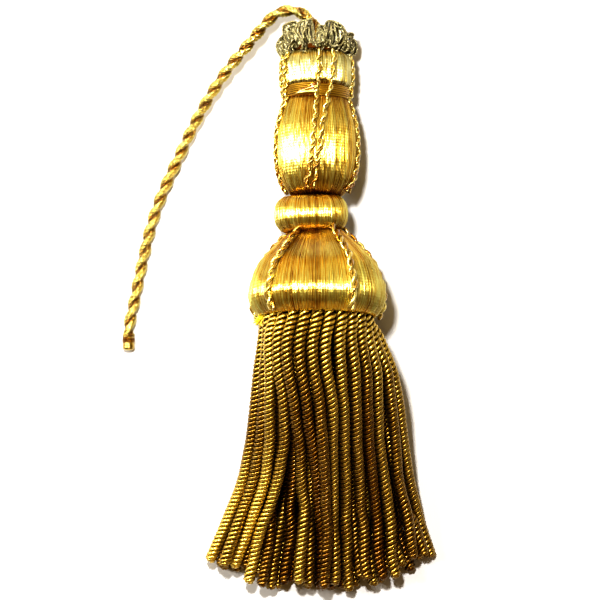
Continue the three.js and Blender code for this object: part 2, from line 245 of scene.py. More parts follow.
def draw_out_gloss(tree, shader, amount):
    """Gloss that is wide round the head, whose axis is nearly Y, and narrow along it."""
    round_head = tree.nodes.new("ShaderNodeTangent")
    round_head.direction_type = "RADIAL"
    round_head.axis = "Y"
    shader.inputs["Anisotropic"].default_value = amount
    tree.links.new(round_head.outputs["Tangent"], shader.inputs["Tangent"])


print("a wrap is drawn as bump, at a strength of", WRAP_STRENGTH)

# %% [markdown]
# ## Finishes
# All the finishes are gold of some kind, so one helper builds them. The base colour runs between a dark and a
# light gold by each thread's `tone`, with a slow noise over it, because hand-wound floss is never even. Gold
# thread is nearly all metal, and the clear skin on it gives the sharp white glints. So the shader is metallic
# and rather rough, and a smoother coat lies on top. A finish can also have a deeper colour for the painted
# shade in creases and valleys.

# %% Helper for finishes
LACQUER_ROUGHNESS, LACQUER_IOR = 0.18, 1.5
FIBRE_SHINE = 0.2
NOISE_DETAIL, NOISE_SHARE = 3, 0.5
DARK_TONE, LIGHT_TONE, PAINTED_SHADE_STOP = 0.15, 1.0, 0.0
SMOOTHER, ROUGHER = 0.06, 0.08  # how far the noise takes the roughness down and up


def gold_finish(
    name, dark, light, metallic, roughness, lacquer=0.0, grain=900, painted_shade_colour=None, satin=0.0,
    wrap=None, wrap_depth=0.012, stagger=60,
):
    """A gold from dark to light by tone. Wrap is the length of one turn of a wrapped thread."""
    material = bpy.data.materials.new(name)
    material.use_nodes = True
    tree = material.node_tree
    link = tree.links.new
    shader = tree.nodes["Principled BSDF"]
    set_values(shader, {"Metallic": metallic, "Specular IOR Level": FIBRE_SHINE})
    set_values(shader, {"Coat Weight": lacquer, "Coat Roughness": LACQUER_ROUGHNESS, "Coat IOR": LACQUER_IOR})

    place = tree.nodes.new("ShaderNodeTexCoord")
    noise = tree.nodes.new("ShaderNodeTexNoise")
    set_values(noise, {"Scale": grain, "Detail": NOISE_DETAIL})
    link(place.outputs["Object"], noise.inputs["Vector"])
    ramp = tree.nodes.new("ShaderNodeValToRGB")
    stops = ramp.color_ramp.elements
    stops[0].position, stops[0].color = DARK_TONE, (*dark, 1)
    stops[1].position, stops[1].color = LIGHT_TONE, (*light, 1)
    # tones below the dark stop, from painted shade, run to the deeper colour
    if painted_shade_colour:
        stops.new(PAINTED_SHADE_STOP).color = (*painted_shade_colour, 1)
    uneven = reckoned(tree, "MULTIPLY_ADD", noise.outputs["Fac"], NOISE_SHARE, carried(tree, "tone"))
    link(uneven, ramp.inputs["Fac"])
    link(ramp.outputs["Color"], shader.inputs["Base Color"])

    gloss = tree.nodes.new("ShaderNodeMapRange")
    set_values(gloss, {"To Min": roughness - SMOOTHER, "To Max": roughness + ROUGHER})
    link(noise.outputs["Fac"], gloss.inputs["Value"])
    link(gloss.outputs["Result"], shader.inputs["Roughness"])
    if satin:
        draw_out_gloss(tree, shader, satin)
    if wrap:
        link(wrapped_turns(tree, wrap, wrap_depth, stagger), shader.inputs["Normal"])
    return material


cord_gold = gold_finish(
    "cord_gold", (0.22, 0.09, 0.003), (0.78, 0.66, 0.2), metallic=1.0, roughness=0.2, lacquer=0.3,
    wrap=0.3, wrap_depth=0.02,
)
print("first finish:", cord_gold.name, "with", len(cord_gold.node_tree.nodes), "nodes")

# %% [markdown]
# ## The hanging cord
# The cord leaves the top of the head inside the ruff, bends over to the left and comes down on to the table.
# It is laid in two stages, as a rope maker lays it: yarns are twisted into a ply, and two plies are twisted
# into the cord. `ply_lines` winds lines round a line, so it is called twice. The route is a list of
# middle points, the same as the solid's. Yarns deep in the cord, in the crevices between the plies, carry a
# painted shade, and yarns at its rim are light.

# %% Cord
CORD_ROUTE = [
    (0, 40.97, 6.3), (0, 42.2, 6.15), (0, 43.5, 6.0), (-0.34, 45.22, 5.9), (-1.32, 46.68, 5.9),
    (-2.78, 47.66, 6.0), (-4.5, 48.0, 6.2), (-6.22, 47.66, 6.4), (-7.68, 46.68, 6.6), (-9.6, 44.55, 6.7),
    (-12.0, 41.7, 6.4), (-14.4, 38.9, 5.6), (-16.9, 35.5, 4.6), (-19.2, 31.8, 3.6), (-21.3, 27.9, 2.7),
    (-23.2, 23.9, 1.9), (-25.1, 19.9, 1.35), (-26.8, 15.8, 1.1), (-28.1, 11.8, 1.0), (-29.1, 7.7, 1.0),
    (-30.0, 3.6, 1.0), (-30.8, -0.4, 1.0), (-31.5, -3.6, 1.05), (-31.8, -5.3, 1.1), (-31.8, -6.6, 1.12),
]
CORD_DIAMETER, CORD_STEP = 2.0, 0.25
PLIES, PLY_OFFSET, PLY_LEAD = 2, 0.46, 6.0  # a lead is the length of one full turn
YARNS, YARN_OFFSET, YARN_LEAD = 4, 0.35, 4.2
YARN_RADIUS, YARN_SIDES = 0.29, 6
# yarns as near the middle as the first radius take the painted shade tone, those at the second the light rim
# tone
CREASE_RADIUS, RIM_RADIUS = 0.7, 1.06
CREVICE_PAINTED_SHADE_TONE, RIM_TONE = -0.1, 0.85
UP = np.array([0.0, 0.0, 1.0])


def ply_lines(line, out, plies, offset, lead, phase=0.0):
    """Lines wound round a line, each with its direction away from it."""
    out, side = square_to(line, out)
    lines = []
    for ply in range(plies):
        turn = FULL_TURN * (run_of(line) / lead + ply / plies) + phase
        away = np.cos(turn)[:, None] * out + np.sin(turn)[:, None] * side
        lines.append((line + offset * away, away))
    return lines


def laid_bars(line, out, plies, offset, lead, radius, sides, phase=0.0, side_radius=None):
    """Bars wound round a line."""
    lines = ply_lines(line, out, plies, offset, lead, phase)
    return [sweep(ply, away, radius, sides, side_radius) for ply, away in lines]


route = through(CORD_ROUTE)
cord_length = run_of(route)[-1]
cord_line = spaced(route, int(cord_length / CORD_STEP))
yarns = []
for ply_line, ply_out in ply_lines(cord_line, UP, PLIES, PLY_OFFSET, PLY_LEAD):
    for yarn in laid_bars(ply_line, ply_out, YARNS, YARN_OFFSET, YARN_LEAD, YARN_RADIUS, YARN_SIDES):
        from_middle = np.linalg.norm(yarn["points"] - np.repeat(cord_line, YARN_SIDES, axis=0), axis=1)
        # painted shade: a yarn is darker the deeper it lies in the cord
        tone = np.interp(from_middle, [CREASE_RADIUS, RIM_RADIUS], [CREVICE_PAINTED_SHADE_TONE, RIM_TONE])
        yarns.append({**yarn, "tone": tone})
cord = make_piece("hang_cord_plies", rested(joined(yarns)), cord_gold, "cord", "hang_cord")
print("cord length:", round(cord_length, 1), "mm")

# %% [markdown]
# The cord's free end is bound with thread so that it can't unlay. The binding is one thread wound in close
# turns round the end, over a rounded core that shows at the very tip.

# %% Bound end
TIP_HEADING = np.array([0.0, -1.0, 0.0])
TIP_CORE = np.array([(0.0, 0.9), (0.6, 0.9), (1.2, 1.0), (1.8, 1.03), (2.15, 0.87), (2.3, 0.5)])  # run, radius
TIP_TURNS = np.array([(0.1, 0.94), (0.3, 0.97), (0.8, 0.97), (1.0, 0.95)])  # run, radius
TIP_SIDES, TIP_THREAD, TIP_POINTS = 16, 0.13, 83
TIP_TONES = [0.35, -0.2]
THREAD_SIDES = 6
tip_start = np.array(CORD_ROUTE[-1])
core_line = tip_start + np.outer(TIP_CORE[:, 0], TIP_HEADING)
tip_parts = [sweep(core_line, UP, TIP_CORE[:, 1], TIP_SIDES)]
tip_run = np.linspace(TIP_TURNS[0, 0], TIP_TURNS[-1, 0], TIP_POINTS)
tip_line = tip_start + np.outer(tip_run, TIP_HEADING)
tip_radius = np.interp(tip_run, *TIP_TURNS.T)[:, None]
tip_parts += laid_bars(tip_line, UP, 1, tip_radius, 2 * TIP_THREAD, TIP_THREAD, THREAD_SIDES)
tip = make_piece("cord_tip_binding", joined(tip_parts, TIP_TONES), cord_gold, "whipping", "cord_tip")

# %% [markdown]
# ## The head's own frame
# The head is turned on a lathe, so it is easiest to think of heights along its axis and radii out from it. On
# the table the axis tips down towards the ruff, because the bell is wider than the ruff and both touch the
# table. `on_head` gives the place on the table.

# %% Head frame
BELL_REST_HEIGHT, BELL_REST_RADIUS = 4.7, 11.3
RUFF_REST_HEIGHT, RUFF_REST_RADIUS = 47.6, 6.1
REST_SPOT_DEPTH = 0.12
tilt = math.atan((BELL_REST_RADIUS - RUFF_REST_RADIUS) / (RUFF_REST_HEIGHT - BELL_REST_HEIGHT))
rim_y = BELL_REST_RADIUS * math.sin(tilt) - BELL_REST_HEIGHT * math.cos(tilt)
rim_z = BELL_REST_RADIUS * math.cos(tilt) + BELL_REST_HEIGHT * math.sin(tilt) - REST_SPOT_DEPTH


def on_head(height, radius, turn):
    """Places on the table. Heights start at the bell's rim, and turns at the top, towards the right."""
    height, radius, turn = np.broadcast_arrays(height, radius, turn)
    up = radius * np.cos(turn)
    y = height * math.cos(tilt) + up * math.sin(tilt) + rim_y
    z = up * math.cos(tilt) - height * math.sin(tilt) + rim_z
    return np.stack([radius * np.sin(turn), y, z], axis=-1)


print("the head tips by", round(math.degrees(tilt), 2), "degrees")

# %% [markdown]
# ## Floss
# The mould is covered with floss that runs lengthwise, side by side. It has a bright band across each form, as
# satin has, because each thread mirrors the light at one place along its length, so its gloss is drawn out
# round the head. Its tone has a painted shade on the narrow slopes, which keeps them orange, and a painted
# highlight where a form is wide. The barrel's floss has the strongest painted highlight, so it has a paler
# finish of its own.

# %% Floss finishes
FLOSS_SKIN = {
    "metallic": 0.95, "roughness": 0.3, "lacquer": 0.6, "grain": 600, "satin": 0.8,
    # the deepest colour is for the floss's painted shade
    "wrap": 0.5, "wrap_depth": 0.005, "stagger": 4, "painted_shade_colour": (0.14, 0.05, 0.001),
}
floss_gold = gold_finish("floss_gold", (0.52, 0.26, 0.002), (0.74, 0.74, 0.22), **FLOSS_SKIN)
# a paler copy of the floss finish, a painted highlight on the barrel; the tucked end of floss takes it too
pale_and_highlit_floss = gold_finish("pale_and_highlit_floss", (0.4, 0.28, 0.035), (0.8, 0.8, 0.42), **FLOSS_SKIN)
print("floss finishes:", floss_gold.name, pale_and_highlit_floss.name)

# %% [markdown]
# A striped bump would lie flat at the edge of the form and would not catch the light as thread does, so every
# thread is a low rounded ridge in the mesh, about a quarter of a millimetre wide: four columns of points, with
# the valleys sunk. Threads drift and ripple a little, some stand low, and those laid together share a shade.
# Chance decides that, but always in the same way, because it starts from one number.

# %% Floss threads
random = np.random.default_rng(7)
THREAD_WIDTH, THREAD_HEIGHT = 0.27, 0.15
THREAD_BULGE = np.array([0.0, 0.75, 1.0, 0.75])  # across one thread, from valley to valley
COLUMNS = len(THREAD_BULGE)
THREAD_SINK = 0.6  # share of the height that lies below the form's own surface
THREAD_DRIFT, RIPPLE = 0.22, 0.03
LOW_THREADS, LOW_CREST = 0.06, 0.35  # share of the threads that stand low, and how low
THINNING = 0.8  # ridges get lower where a form is narrow and its threads are crowded
BUNDLE, BUNDLE_SHADE = 7, 0.12  # threads that were laid together, and how far their shade goes
# painted shade: the valleys between threads are darker
CREST_TONE, VALLEY_PAINTED_SHADE = 0.1, 0.75
CREASE_PAINTED_SHADE, CREASE_REACH = 0.6, 0.9  # painted shade where the floss dives into a groove
# painted shade on a form's narrow slopes and hollows, and painted light on its wide crown
HOLLOW_PAINTED_SHADE, CROWN_PAINTED_LIGHT = 0.65, 0.2


def thread_turns(threads, run):
    """The turn round the form of every column of points, row by row."""
    drift = random.normal(0, THREAD_DRIFT, threads)
    drift = drift * np.sin(run / random.uniform(2, 5, threads) + random.uniform(0, 6, threads))
    sway = np.repeat(drift, COLUMNS, axis=1)
    sway[:, ::COLUMNS] = (drift + np.roll(drift, 1, axis=1)) / 2  # a valley lies between two threads
    place = np.repeat(np.arange(threads), COLUMNS) + np.tile(np.arange(COLUMNS) / COLUMNS, threads)
    return FULL_TURN * (place + sway) / threads


def thread_lift(threads, run, girth):
    """How far every column stands out from the form, row by row."""
    waves = FULL_TURN * run / random.uniform(2, 4.5, threads)
    ripple = RIPPLE * np.sin(waves + random.uniform(0, 6, threads))
    crest = random.uniform(0.6, 1.25, threads)
    crest = crest * np.where(random.random(threads) < LOW_THREADS, LOW_CREST, 1.0)
    ridge = np.repeat(crest, COLUMNS) * np.tile(THREAD_BULGE, threads)
    return THREAD_HEIGHT * (ridge * girth**THINNING - THREAD_SINK) + np.repeat(ripple, COLUMNS, axis=1)


def thread_tones(threads, run, girth):
    """The shade of every column, row by row, with painted shade in valleys, grooves and narrow slopes and
    painted light on crowns.
    """
    bundles = random.uniform(-BUNDLE_SHADE, BUNDLE_SHADE, threads // BUNDLE + 1)
    own = np.clip(random.normal(0.3, 0.14, threads) + np.repeat(bundles, BUNDLE)[:threads], 0, 0.8)
    # painted shade in the valleys between threads and where the floss dives into a groove
    valley = VALLEY_PAINTED_SHADE * np.tile(np.sqrt(1 - THREAD_BULGE), threads)
    crease = CREASE_PAINTED_SHADE * (np.exp(-run / CREASE_REACH) + np.exp((run - run[-1]) / CREASE_REACH))
    # painted shade where a form is narrow, painted light on its crown
    slope_light_and_shade = HOLLOW_PAINTED_SHADE * (1 - girth) - CROWN_PAINTED_LIGHT
    return np.repeat(own, COLUMNS) + (CREST_TONE - valley) - crease - slope_light_and_shade


print("threads round the bell:", round(FULL_TURN * BELL_REST_RADIUS / THREAD_WIDTH))

# %% [markdown]
# The moulds are turned, so each of them needs only a profile: radii and heights from one end to the other.

# %% Floss on a turned form


def floss_form(profile, rows):
    """Threads laid lengthwise over a turned form."""
    profile = spaced(through(profile), rows)
    run = run_of(profile)[:, None]
    widest = profile[:, 0].max()
    girth = profile[:, :1] / widest
    threads = round(FULL_TURN * widest / THREAD_WIDTH)
    turn = thread_turns(threads, run)
    lift = thread_lift(threads, run, girth)
    along_profile = np.gradient(profile, axis=0)
    outward = unit(np.column_stack([along_profile[:, 1], -along_profile[:, 0]]))
    return {
        "radius": profile[:, :1] + outward[:, :1] * lift,
        "height": profile[:, 1:] + outward[:, 1:] * lift,
        "turn": turn,
        "faces": closed_faces(rows, threads * COLUMNS),
        "along": np.repeat(run, threads * COLUMNS),
        "tone": thread_tones(threads, run, girth).reshape(-1),
    }


def placed(form, shift=0.0, lean=0.0, nod=0.0, middle=0.0):
    """Points of a form on the head, moved sideways, and leaned and nodded about its middle height."""
    across = form["radius"] * np.sin(form["turn"])
    above = form["radius"] * np.cos(form["turn"])
    height = form["height"] - middle
    x = shift + across * math.cos(lean) - height * math.sin(lean)
    y = middle + across * math.sin(lean) + height * math.cos(lean) - above * math.sin(nod)
    points = on_head(y, np.hypot(x, above), np.arctan2(x, above)).reshape(-1, 3)
    return {**form, "points": points}


BELL_PROFILE = [
    (6.8, 2.4), (8.3, 1.3), (9.1, 0.2), (9.7, 0.15), (10.3, 0.8), (10.95, 1.9), (11.32, 3.9), (10.8, 6.3),
    (9.65, 9.0), (7.2, 11.8), (4.6, 14.2), (3.6, 15.0),
]
bell = rested(placed(floss_form(BELL_PROFILE, rows=54)))
make_piece("bell_floss", bell, floss_gold, "floss", "bell")

# %% [markdown]
# The ring above the bell is half a circle in profile. It sits a little to the left and is tipped, because
# it was threaded on by hand. The bulb and the barrel sit straight.

# %% Ring, bulb and barrel
COLLAR_BOTTOM, COLLAR_TOP, COLLAR_GROOVE, COLLAR_BULGE = 14.4, 20.2, 4.1, 2.0
COLLAR_OVERLAP = 0.1
COLLAR_SHIFT, COLLAR_LEAN, COLLAR_NOD = -1.0, math.radians(2), math.radians(4)
collar_middle = (COLLAR_BOTTOM + COLLAR_TOP) / 2
collar_half = (COLLAR_TOP - COLLAR_BOTTOM) / 2
half_circle = np.linspace(-math.pi / 2, math.pi / 2, 13)
collar_profile = np.column_stack([
    COLLAR_GROOVE + COLLAR_BULGE * np.cos(half_circle),
    collar_middle + (collar_half + COLLAR_OVERLAP) * np.sin(half_circle),
])
collar = placed(floss_form(collar_profile, rows=34), COLLAR_SHIFT, COLLAR_LEAN, COLLAR_NOD, collar_middle)
make_piece("ring_floss", collar, floss_gold, "floss", "ring_collar")

BULB_PROFILE = [
    (3.6, 20.15), (4.5, 20.7), (5.6, 22.4), (6.35, 25.2), (6.55, 28.5), (6.25, 32.2), (5.1, 36.4), (4.7, 36.8),
]
make_piece("bulb_floss", placed(floss_form(BULB_PROFILE, rows=44)), floss_gold, "floss", "bulb")

BARREL_PROFILE = [
    (4.7, 38.3), (5.35, 38.65), (5.63, 39.6), (5.63, 42.4), (5.25, 43.7), (4.5, 44.3), (3.6, 44.55),
]
make_piece("barrel_floss", placed(floss_form(BARREL_PROFILE, rows=26)), pale_and_highlit_floss, "floss", "neck_barrel")

# %% [markdown]
# ## The waist band
# A thread is wound round the groove between the barrel and the bulb to hold the floss down. The turns lie
# close together, so they are one long thread wound like a spring, over a plain core that fills the groove.

# %% Waist band
whipping_gold = gold_finish(
    "whipping_gold", (0.2, 0.075, 0.002), (0.62, 0.41, 0.04), metallic=0.85, roughness=0.38, lacquer=0.3
)
BAND_LOW, BAND_HIGH, BAND_TURNS, BAND_THREAD = 36.55, 38.5, 6, 0.15
BAND_POINTS = 90  # to a turn
BAND_SHAPE = np.array([(36.5, 5.12), (37.1, 5.4), (37.9, 5.4), (38.6, 5.2)])  # height, radius
BAND_CORE = [(36.4, 4.9), (37.1, 5.3), (37.9, 5.3), (38.7, 5.0)]
BAND_TONES = [0.3, 0.0]
CORE_COLUMNS = 48


def wound_on_head(height, radius, turns, thread):
    """One thread wound round the head, from the first height to the last."""
    line = on_head(height, radius, FULL_TURN * turns * np.linspace(0, 1, len(height)))
    return sweep(line, line - on_head(height, 0.0, 0.0), thread, THREAD_SIDES)


def turned_form(rows, rim):
    """A closed form on the head's axis. Rows list height and size, and the rim is a radius for each column."""
    turn = FULL_TURN * np.arange(len(rim)) / len(rim)
    points = np.vstack([on_head(height, size * rim, turn) for height, size in rows])
    return {"points": points, "faces": closed_faces(len(rows), len(rim)), "along": np.zeros(len(points))}


band_height = np.linspace(BAND_LOW, BAND_HIGH, BAND_TURNS * BAND_POINTS)
band_thread = wound_on_head(band_height, np.interp(band_height, *BAND_SHAPE.T), BAND_TURNS, BAND_THREAD)
band = joined([band_thread, turned_form(BAND_CORE, np.ones(CORE_COLUMNS))], BAND_TONES)
make_piece("waist_whipping", band, whipping_gold, "whipping", "waist_band")

# %% [markdown]
# At the front a light end of floss slants over the band before it is tucked in. It is a fan of single threads
# that start together at the left and spread to the right.

# %% Tucked floss
TUCKED_THREADS, TUCKED_POINTS = 9, 14
TUCKED_FROM, TUCKED_LOW, TUCKED_HIGH = 36.85, 36.95, 38.75  # heights at the left, and on the right
TUCKED_TURNS = (-0.69, 0.06)
TUCKED_RADIUS, TUCKED_BOW, TUCKED_THREAD = 5.62, 0.1, 0.13
share = np.linspace(0, 1, TUCKED_POINTS)
turn = np.linspace(*TUCKED_TURNS, TUCKED_POINTS)
tucked = []
for top in np.linspace(TUCKED_LOW, TUCKED_HIGH, TUCKED_THREADS):
    height = TUCKED_FROM + (top - TUCKED_FROM) * share**1.1
    line = on_head(height, TUCKED_RADIUS + TUCKED_BOW * np.sin(math.pi * share), turn)
    tucked.append(sweep(line, line - on_head(height, 0.0, turn), TUCKED_THREAD, THREAD_SIDES))
tucked_tones = random.uniform(-0.4, 0.45, TUCKED_THREADS)
make_piece("tucked_floss", joined(tucked, tucked_tones), pale_and_highlit_floss, "floss", "waist_band")

# %% [markdown]
# ## Ribs
# Thin gimp cords are laid over the floss: pairs down the barrel and the bulb at the front, the back and both
# sides, and single ones down the bell from the ring to the rim. Each is two plies of wrapped thread. They
# follow the form's profile a little above the floss, and wander, because they are only caught at their ends.
# Near the ring they have a painted shade, where they run into the grooves beside it.

# %% Helpers for ribs
rib_gold = gold_finish(
    "rib_gold", (0.32, 0.14, 0.004), (0.74, 0.62, 0.18), metallic=0.9, roughness=0.28, lacquer=1.0, wrap=0.28
)
RIB_PAINTED_SHADE, RIB_REACH = 0.7, 3.5
RIB_PLIES, RIB_TONES = 2, [0.25, 0.75]
RIB_SEAT = 0.8  # share of a ply's radius that stands clear of the floss
SLOPE_STEP = 0.4


def radius_at(profile, height):
    order = np.argsort(profile[:, 1])
    return np.interp(height, profile[order, 1], profile[order, 0])


def laid_rib(profile, height, turn, ply_offset, ply_radius, lead, phase):
    """Two plies laid along a form, at a turn round it for each height."""
    rise = radius_at(profile, height + SLOPE_STEP) - radius_at(profile, height - SLOPE_STEP)
    slope = rise / (2 * SLOPE_STEP)
    radius = radius_at(profile, height) + (ply_offset + RIB_SEAT * ply_radius) * np.hypot(1, slope)
    line = on_head(height, radius, turn)
    out = on_head(height, radius + 1, turn) - line
    from_ring = np.minimum(np.abs(height - COLLAR_BOTTOM), np.abs(height - COLLAR_TOP))
    # painted shade near the ring
    shade = np.repeat(RIB_PAINTED_SHADE * np.exp(-from_ring / RIB_REACH), THREAD_SIDES)
    plies = laid_bars(line, out, RIB_PLIES, ply_offset, lead, ply_radius, THREAD_SIDES, phase)
    return joined([{**ply, "tone": tone - shade} for ply, tone in zip(plies, RIB_TONES)])


print("ribs are wrapped in", rib_gold.name)

# %% [markdown]
# A pair of ribs runs over three pieces, so the profiles of the bulb, the band and the barrel are put together
# first, without the ends that turn inwards. The pair's two wandering lines are given for the front and used
# again for the other sides. On the bell the first rib leans in towards the middle at its top.

# %% Ribs
BULB_RIB = {"ply_offset": 0.2, "ply_radius": 0.21, "lead": 2.6}
RIB_SIDES = {"front": 0, "right": 90, "back": 180, "left": 270}
RIB_HEIGHT = [44.1, 40.4, 37.5, 34.0, 30.5, 27.0, 23.9, 20.9]
RIB_DRIFT = {
    "first": [0.3, 0.25, 0.0, -0.2, -0.5, -0.75, -1.3, -1.7],
    "second": [2.7, 2.6, 2.0, 1.3, 0.7, 0.4, -0.2, -0.5],
}
RIB_WAVE, RIB_WAVE_LENGTH, RIB_POINTS = 0.18, 2.5, 150
BAND_TOP = [(5.42, 37.2), (5.42, 37.9)]
neck_profile = np.vstack([through(BULB_PROFILE)[:-6], BAND_TOP, through(BARREL_PROFILE)[10:]])
for side, degrees in RIB_SIDES.items():
    for cord_name, drift in RIB_DRIFT.items():
        height, stray = spaced(through(np.column_stack([RIB_HEIGHT, drift])), RIB_POINTS).T
        wave = FULL_TURN * height / RIB_WAVE_LENGTH + random.uniform(0, 6)
        stray = stray + RIB_WAVE * np.sin(wave)
        turn = math.radians(degrees) + stray / radius_at(neck_profile, height)
        rib = laid_rib(neck_profile, height, turn, **BULB_RIB, phase=random.uniform(0, 6))
        node = f"bulb_rib_{side}_{cord_name}"
        make_piece(node + "_gimp", rib, rib_gold, "rib_gimp", node)

BELL_RIB = {"ply_offset": 0.34, "ply_radius": 0.31, "lead": 3.8}
BELL_RIB_TURNS = [-43, 30, 110, 150, 246]
BELL_RIB_ENDS, BELL_RIB_POINTS = (14.9, 0.4), 120
BELL_RIB_WAVE, BELL_RIB_WAVE_LENGTH = 0.012, 5
FIRST_RIB_DRIFT = math.radians(11)
bell_profile = through(BELL_PROFILE[3:])
for number, degrees in enumerate(BELL_RIB_TURNS, 1):
    height = np.linspace(*BELL_RIB_ENDS, BELL_RIB_POINTS)
    wave = FULL_TURN * height / BELL_RIB_WAVE_LENGTH + number
    turn = math.radians(degrees) + BELL_RIB_WAVE * np.sin(wave)
    if number == 1:
        turn = turn + FIRST_RIB_DRIFT * (height / height[0]) ** 2
    rib = laid_rib(bell_profile, height, turn, **BELL_RIB, phase=number)
    make_piece(f"bell_rib_{number}_gimp", rib, rib_gold, "rib_gimp", f"bell_rib_{number}")

# %% [markdown]
# ## The ruff
# A frill of gimp leaves hides the place where the cord leaves the head. A leaf is a stiff wrapped cord laid in
# nested loops, one inside the other, on a thin pleated sheet. Its raised folds are painted light and its sunken
# folds carry a painted shade, so it looks veined. The loops share one outline, which is drawn once as a flat
# shape and then laid on a spine that rises from the neck and curls outwards. `leaf_place` does that, and a pair
# of waves in it crumples the leaf.

# %% Helpers for leaves
LEAF_ROOT = np.array([44.4, 3.3])  # height, radius
LEAF_OUTLINE = [  # share of the width sideways, share of the way up
    (-0.3, 0.0), (-0.6, 0.3), (-1.0, 0.7), (-0.7, 0.94), (0.0, 1.0),
    (0.7, 0.94), (1.0, 0.7), (0.6, 0.3), (0.3, 0.0),
]
LEAF_LOOPS = [(1.0, 1.0), (0.66, 0.86), (0.3, 0.74)]  # size of each nested loop, sideways and upwards
LEAF_TWIST, LEAF_CUP = 0.85, 0.15  # how far a leaf turns its face up, and how much its edges curl back
LOOP_POINTS, SPINE_POINTS = 75, 24
GIMP_PLIES, GIMP_PLY, GIMP_LEAD, GIMP_SIDES = 2, 0.1, 0.75, 5
SHEET_ROWS, SHEET_COLUMNS, SHEET_THICK, SHEET_BACK = 20, 72, 0.06, 0.1
SHEET_TOP = 0.98
# the pleats' tone follows their folds, a painted light and shade
PLEATS, PLEAT_DEPTH, PLEAT_PAINTED_SHADE = 2.5, 0.12, 0.4  # half the number of folds across a sheet
SHEET_TONE = 0.2
CRUMPLE, CRINKLE, WOBBLE = 0.6, 0.08, 0.16


def leaf_place(leaf, sideways, reach, depth=0.0):
    """Places on a leaf, by the way sideways, the share of the way up and the depth out of its face."""
    share = np.linspace(0, 1, len(leaf["spine"]))
    height = np.interp(reach, share, leaf["spine"][:, 0])
    radius = np.interp(reach, share, leaf["spine"][:, 1])
    rise, flare = leaf["heading"]
    twist = leaf["twist"] * np.minimum(1.0, 2.5 * reach)
    buckle = CRUMPLE * reach * np.sin(2.6 * sideways + leaf["phase"]) * np.cos(5 * reach + leaf["phase"])
    depth = depth + buckle - LEAF_CUP * sideways**2
    across = sideways * np.cos(twist) - depth * np.sin(twist)
    outward = sideways * np.sin(twist) + depth * np.cos(twist)
    return on_head(height - flare * outward, radius + rise * outward, leaf["turn"] + across / radius)


def wobble(leaf, reach, size):
    """How far an outline of a given size strays sideways."""
    return leaf["width"] * WOBBLE * np.sin(5 * reach + 9 * size + leaf["phase"])


def leaf_loops(leaf):
    """The nested loops of a leaf, each of them two plies."""
    out = leaf_place(leaf, 0.0, 0.7, 1.0) - leaf_place(leaf, 0.0, 0.7)
    outline = through(LEAF_OUTLINE)
    crinkle = CRINKLE * np.sin(np.linspace(0, 90, len(outline)) + leaf["phase"])
    bars = []
    for wide, tall in LEAF_LOOPS:
        sideways = leaf["width"] * wide * outline[:, 0] + wobble(leaf, outline[:, 1], wide)
        loop = spaced(leaf_place(leaf, sideways, tall * outline[:, 1], crinkle), LOOP_POINTS)
        bars += laid_bars(loop, out, GIMP_PLIES, GIMP_PLY, GIMP_LEAD, GIMP_PLY, GIMP_SIDES)
    return bars


def leaf_sheet(leaf):
    """The pleated sheet behind the loops."""
    reach = np.linspace(0, SHEET_TOP, SHEET_ROWS)[:, None]
    half = leaf["width"] * np.interp(reach, [0, 0.3, 0.7, 0.94, 1.0], [0.3, 0.6, 1.0, 0.7, 0.1])
    corner = FULL_TURN * np.arange(SHEET_COLUMNS) / SHEET_COLUMNS
    pleat = np.cos(FULL_TURN * PLEATS * np.cos(corner) + leaf["phase"] + 2 * reach)
    depth = SHEET_THICK * np.sin(corner) + PLEAT_DEPTH * pleat - SHEET_BACK
    sideways = half * np.cos(corner) + wobble(leaf, reach, 1.0)
    return {
        "points": leaf_place(leaf, sideways, reach, depth).reshape(-1, 3),
        "faces": closed_faces(SHEET_ROWS, SHEET_COLUMNS),
        "along": np.repeat(reach * leaf["length"], SHEET_COLUMNS),
        # painted light on the raised folds and painted shade in the sunken ones
        "tone": (SHEET_TONE + PLEAT_PAINTED_SHADE * pleat).reshape(-1),
    }


print("a leaf has", len(LEAF_LOOPS), "loops")

# %% [markdown]
# The frill has been handled for years, so its leaves stand every way: tall ones between low ones, some laid
# out flat at the sides, some pale and some dull. The leaves in view are listed one by one, and the ones behind
# are placed by a rule.

# %% Ruff
ruff_gimp = gold_finish(
    "ruff_gimp", (0.02, 0.014, 0.003), (0.52, 0.47, 0.25), metallic=0.95, roughness=0.28, lacquer=0.5,
    wrap=0.2, grain=2500,
)
GOLDEN_TURN = 2.4
FRONT_LEAVES = [  # turn in degrees, height and radius of the tip, half width, own twist in degrees
    (-84, 46.5, 6.5, 1.6, 5), (-55, 48.9, 5.9, 1.95, 15), (-20, 49.2, 5.0, 1.65, -18), (8, 48.4, 4.4, 1.0, 40),
    (36, 48.9, 5.3, 1.95, 10), (68, 47.4, 6.3, 1.1, -35), (94, 46.6, 6.4, 1.2, 15), (58, 46.2, 6.0, 1.1, 20),
    (-52, 45.3, 6.0, 1.2, 25), (-23, 45.1, 5.9, 1.1, -30), (2, 45.3, 5.8, 1.1, 20), (27, 45.1, 5.9, 1.1, -20),
    (80, 45.3, 6.1, 1.0, -10),
]
BACK_LEAVES = [  # the sine and cosine only scatter the tips and twists
    (turn, 47.3 + math.sin(turn), 5.6, 1.25, 20 * math.cos(turn)) for turn in range(115, 250, 19)
]
LOOP_TONES = [0.85, 0.5, 0.4, 0.75, 0.8, 0.4]  # two plies for each loop
LEAF_SHADE = 0.22
RUFF_CLEARANCE = 0.02


